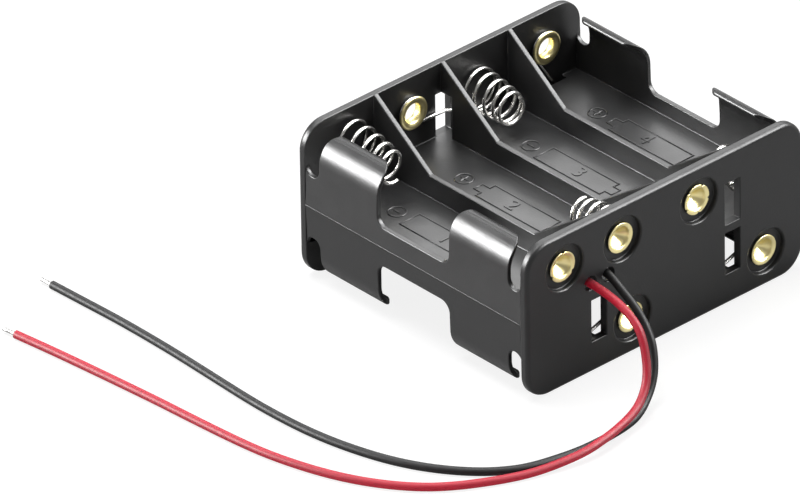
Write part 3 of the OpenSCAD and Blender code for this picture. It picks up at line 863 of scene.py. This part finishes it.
def strands(name, points, node):
    """Bare strands that carry on from the end of a lead."""
    end, before = points[-1], points[-1 - LAST_STEPS]
    along = (end - before).normalized()
    along.z = 0
    rows = [(0, 0, BARE_L * i / TIP_STEPS - BURIED) for i in range(TIP_STEPS + 1)]
    piece = grow(name, line_mesh(name, rows), strand_tree, {
        "Strands": STRANDS, "Strand radius": STRAND_R * MM, "Ring radius": RING_R * MM,
        "Twist": TWIST, "Turn": Vector(along.to_track_quat("Z", "Y").to_euler()), "Place": end,
        "Material": tinned,
    })
    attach(piece, "root")
    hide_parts(node)
    return piece


red_tip = strands("red_lead_strands", red_points, "red_lead_tip")
black_tip = strands("black_lead_strands", black_points, "black_lead_tip")
print("tips:", red_tip.name, black_tip.name)

# %% [markdown]

# %% [markdown]
# The floor of every bay carries raised marks that show which way round a cell goes: a sign in a
# circle, and the outline of a cell with its nub. They are thin ridges. A texture could fake them,
# but real ridges catch the light from every side. The tree sweeps a low rounded section along
# lines that are drawn flat, and keeps the section upright.

# %% Tree for raised lines
ridge_tree = Tree("raised_lines", {
    "Width": "length", "Height": "length", "Material": "material"})
t, g = ridge_tree, ridge_tree.inputs
line = t.node("GeometryNodeMeshToCurve", {"Mesh": g["Geometry"]}).outputs[0]
section = t.node("GeometryNodeCurvePrimitiveCircle", {"Resolution": 12, "Radius": 0.5})
flattened = t.node("GeometryNodeTransform", {
    "Geometry": section.outputs[0],
    "Scale": t.node("ShaderNodeCombineXYZ", {0: g["Width"], 1: g["Height"], 2: 1.0}).outputs[0],
})
upright = t.node("GeometryNodeSetCurveNormal", {"Curve": line}, mode="Z_UP")
swept = t.node("GeometryNodeCurveToMesh", {
    "Curve": upright.outputs[0], "Profile Curve": flattened.outputs[0], "Fill Caps": True})
t.finish(swept.outputs[0], g["Material"])

# %% [markdown]
# The cells lie head to tail, so the outline points one way in the odd bays, with a minus sign, and
# the other way in the even ones, with a plus sign. The lines are given as corners from the middle
# of a bay, and one mesh holds all of a layer. The bottom layer has the same marks turned over. The
# lettering is left off, and each outline holds the number of its bay.

# %% Lines of the marks
SIGN_Y, SIGN_R, SIGN_ARM, SIGN_STEPS = 13.3, 1.6, 0.9, 32
OUTLINE_HALF, NUB_HALF = 2.3, 1.03
# Y of the outline's flat end, of its shoulders and of the end of its nub.
ODD_OUTLINE, EVEN_OUTLINE = (10.1, -6.2, -7.8), (-8.2, 8.0, 9.8)


def cell_outline(flat, shoulder, nub):
    """Outline of a cell along a bay."""
    return [
        (-OUTLINE_HALF, flat), (OUTLINE_HALF, flat), (OUTLINE_HALF, shoulder),
        (NUB_HALF, shoulder), (NUB_HALF, nub), (-NUB_HALF, nub), (-NUB_HALF, shoulder),
        (-OUTLINE_HALF, shoulder),
    ]


def bay_lines(bay):
    """Lines of one bay, in X and Y from the bay's middle, and whether each is closed."""
    turns = [math.tau * i / SIGN_STEPS for i in range(SIGN_STEPS)]
    circle = [(SIGN_R * math.cos(a), SIGN_Y + SIGN_R * math.sin(a)) for a in turns]
    signs = [[(0, SIGN_Y - SIGN_ARM), (0, SIGN_Y + SIGN_ARM)]]
    if bay % 2 == 0:
        signs.append([(-SIGN_ARM, SIGN_Y), (SIGN_ARM, SIGN_Y)])
    outline = cell_outline(*(ODD_OUTLINE if bay % 2 else EVEN_OUTLINE))
    return [(circle, True), (outline, True)] + [(sign, False) for sign in signs]


def marks_mesh(name, z):
    """All lines of one layer as corners and edges."""
    corners, edges = [], []
    for bay in range(1, 5):
        for points, closed in bay_lines(bay):
            first = len(corners)
            corners += [(Vector((bay_x(bay) + x, y, z)) * MM) for x, y in points]
            edges += [(first + i, first + i + 1) for i in range(len(points) - 1)]
            if closed:
                edges.append((len(corners) - 1, first))
    mesh = bpy.data.meshes.new(name)
    mesh.from_pydata(corners, edges, [])
    return mesh


print("lines in a bay:", [len(bay_lines(bay)) for bay in (1, 2)])

# %% [markdown]
# The ridges stand half sunk in the floor between the layers, so that only their rounded upper half
# shows. They are flat enough for a cell to lie on. They get the moulding's own finish, because they
# were moulded with it.

# %% Marks on the floors
MARK_W, MARK_H, MARK_LIFT = 0.36, 0.32, 0.02
for layer, side in (("top", 1), ("bottom", -1)):
    marks = grow(
        "raised_marks_" + layer, marks_mesh("marks", MID + side * (WEB_HALF + MARK_LIFT)),
        ridge_tree, {"Width": MARK_W * MM, "Height": MARK_H * MM, "Material": moulded})
    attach(marks, "root")

# %% [markdown]
# Where the two halves of the mould meet, a little plastic creeps between them and leaves a fine
# ridge along each side wall. The tree for raised lines makes it too, from a single straight edge,
# because it is only a thinner ridge.

# %% Parting line
WALL_X, SEAM_END, SEAM_SIZE = 32.0, 26.7, 0.12
for name, side in (("parting_line_left", -1), ("parting_line_right", 1)):
    rows = [(side * WALL_X * MM, y * MM, MID * MM) for y in (-SEAM_END, SEAM_END)]
    seam = grow(name, line_mesh(name, rows), ridge_tree, {
        "Width": SEAM_SIZE * MM, "Height": SEAM_SIZE * MM, "Material": moulded})
    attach(seam, "root")

# %% [markdown]
# The number of a bay is raised like the lines, and reads along the bay. Blender's text object gives
# clean numerals with real thickness. The text is made into a mesh first, and only then turned and
# moved to its place, so that the object stays at the origin.

# %% Numbers of the bays
NUMERAL_SIZE, NUMERAL_DEPTH, NUMERAL_Y = 4.2, 0.1, 1.2


def numeral(bay, layer, side):
    """Raised number on the floor of a bay."""
    text = bpy.data.curves.new("numeral", "FONT")
    text.body = str(bay)
    text.size = NUMERAL_SIZE * MM
    text.extrude = NUMERAL_DEPTH * MM
    text.align_x, text.align_y = "CENTER", "CENTER"
    written = add_object("numeral", text)
    graph = bpy.context.evaluated_depsgraph_get()
    mesh = bpy.data.meshes.new_from_object(written.evaluated_get(graph))
    bpy.data.objects.remove(written)
    over = Matrix.Rotation(0 if side > 0 else math.pi, 4, "Y")
    turn = Matrix.Rotation(math.radians(-90), 4, "Z") @ over
    place = Vector((bay_x(bay), NUMERAL_Y, MID + side * (WEB_HALF + MARK_LIFT))) * MM
    mesh.transform(Matrix.Translation(place) @ turn)
    mesh.materials.clear()
    mesh.materials.append(moulded)
    return add_object("numeral_%s_%d" % (layer, bay), mesh)


for bay in range(1, 5):
    for layer, side in (("top", 1), ("bottom", -1)):
        number = numeral(bay, layer, side)
        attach(number, "root")
        print(number.name, len(number.data.polygons), "faces")

# %% [markdown]
# The studio is a white sweep without a visible edge. Light that is strong enough to make paper look
# pure white would spoil the colours of the holder, so the shader asks what kind of ray it answers.
# The camera sees plain white. Rays that were mirrored see a dimmer world and a floor that the lamps
# light, so that metal keeps some contrast. All other rays see a soft grey world and matt paper.

# %% Rays of three kinds
# Strength of the world for other rays, for mirrored rays and for the camera.
OTHER_WORLD, MIRRORED_WORLD, SEEN_WORLD = 0.25, 0.3, 1.0


def plain_rays(tree):
    """Light Path value that is 1 for camera, glossy and transmitted rays."""
    rays = tree.nodes.new("ShaderNodeLightPath").outputs
    direct = maths_node(tree, "MAXIMUM", rays["Is Camera Ray"], rays["Is Glossy Ray"])
    return maths_node(tree, "MAXIMUM", direct, rays["Is Transmission Ray"])


def choose_by_ray(tree, other, mirrored, seen, target):
    """Gives one shader to diffuse rays, one to mirrored rays and one to the camera's rays."""
    first = tree.nodes.new("ShaderNodeMixShader")
    second = tree.nodes.new("ShaderNodeMixShader")
    rays = tree.nodes.new("ShaderNodeLightPath")
    tree.links.new(plain_rays(tree), first.inputs[0])
    tree.links.new(other, first.inputs[1])
    tree.links.new(mirrored, first.inputs[2])
    tree.links.new(rays.outputs["Is Camera Ray"], second.inputs[0])
    tree.links.new(first.outputs[0], second.inputs[1])
    tree.links.new(seen, second.inputs[2])
    tree.links.new(second.outputs[0], target)


def background(tree, strength):
    """White background of this strength."""
    shader = tree.nodes.new("ShaderNodeBackground")
    shader.inputs["Color"].default_value = (1, 1, 1, 1)
    shader.inputs["Strength"].default_value = strength
    return shader.outputs[0]


world = bpy.data.worlds.new("studio")
bpy.context.scene.world = world
world.use_nodes = True
tree = world.node_tree
choose_by_ray(
    tree, background(tree, OTHER_WORLD), background(tree, MIRRORED_WORLD),
    background(tree, SEEN_WORLD), tree.nodes["World Output"].inputs["Surface"])
print("world:", world.name)

# %% [markdown]
# The floor is one large sheet of paper, a hair below the feet of the holder so that the two don't
# meet in one plane. For the camera it glows to nearly white by itself, and the rest is a normal
# diffuse surface, so the holder still throws a faint shadow on it.

# %% White floor
PAPER_HALF, PAPER_DROP = 6, 0.01 * MM
PAPER_WHITE = 0.8
# Strength of the glow, and white of the lit part, for mirrored rays and for the camera.
MIRRORED_PAPER, SEEN_PAPER = (0.15, 0.75), (0.86, 0.22)
paper = bpy.data.materials.new("white_paper")
paper.use_nodes = True
nodes, links = paper.node_tree.nodes, paper.node_tree.links
nodes.remove(nodes["Principled BSDF"])


def matt_paper(white):
    """Paper that is lit by the lamps only."""
    lit = nodes.new("ShaderNodeBsdfDiffuse")
    lit.inputs["Color"].default_value = (white, white, white, 1)
    return lit.outputs[0]


def part_glow(strength, white):
    """Paper that is partly lit by the lamps and partly glows by itself."""
    glow = nodes.new("ShaderNodeEmission")
    glow.inputs["Strength"].default_value = strength
    both = nodes.new("ShaderNodeAddShader")
    links.new(glow.outputs[0], both.inputs[0])
    links.new(matt_paper(white), both.inputs[1])
    return both.outputs[0]


choose_by_ray(
    paper.node_tree, matt_paper(PAPER_WHITE), part_glow(*MIRRORED_PAPER), part_glow(*SEEN_PAPER),
    nodes["Material Output"].inputs["Surface"])
corners = [
    (x * PAPER_HALF, y * PAPER_HALF, -PAPER_DROP) for x, y in ((-1, -1), (1, -1), (1, 1), (-1, 1))]
floor_mesh = bpy.data.meshes.new("floor")
floor_mesh.from_pydata(corners, [], [(0, 1, 2, 3)])
floor_mesh.materials.append(paper)
floor = add_object("studio_floor", floor_mesh)
print("floor:", 2 * PAPER_HALF, "m across")

# %% [markdown]
# One soft lamp overhead gives the even light. Black plastic shows its shape by what it mirrors, so
# four bright panels stand round it as well. The one at the back left draws the bands along the
# clips. The one over the right side and the one at the front right draw the rims of the plates and
# the eyelets. The large dim one at the back right lightens the floors of the bays. The panels are
# hidden from diffuse rays: they only show in reflections, and the colours keep their plain level.

# %% Lamps
AIM = Vector((0, 0, 0.015))


def soft_lamp(name, place, width, height, level, panel=True):
    """Lamp that faces the holder. Level is the brightness of its face."""
    light = bpy.data.lights.new(name, "AREA")
    light.shape = "RECTANGLE"
    light.size, light.size_y = width, height
    light.energy = 4 * level * width * height
    lamp = add_object(name, light)
    lamp.location = place
    lamp.rotation_euler = (AIM - Vector(place)).to_track_quat("-Z", "Y").to_euler()
    lamp.visible_diffuse = not panel


soft_lamp("key", (-0.1, 0.25, 0.95), 0.6, 0.6, 7.0, panel=False)
soft_lamp("panel_back_left", (-0.68, 0.57, 0.34), 0.5, 0.45, 44.0)
soft_lamp("panel_over_right", (0.55, -0.1, 0.75), 0.3, 0.9, 12.0)
soft_lamp("panel_front_right", (0.56, -0.58, 0.59), 0.7, 0.5, 24.0)
soft_lamp("panel_back_right", (0.45, 0.5, 0.7), 0.8, 0.9, 3.9)
bpy.context.scene.view_settings.view_transform = "Standard"
print("lamps:", len(bpy.data.lights))
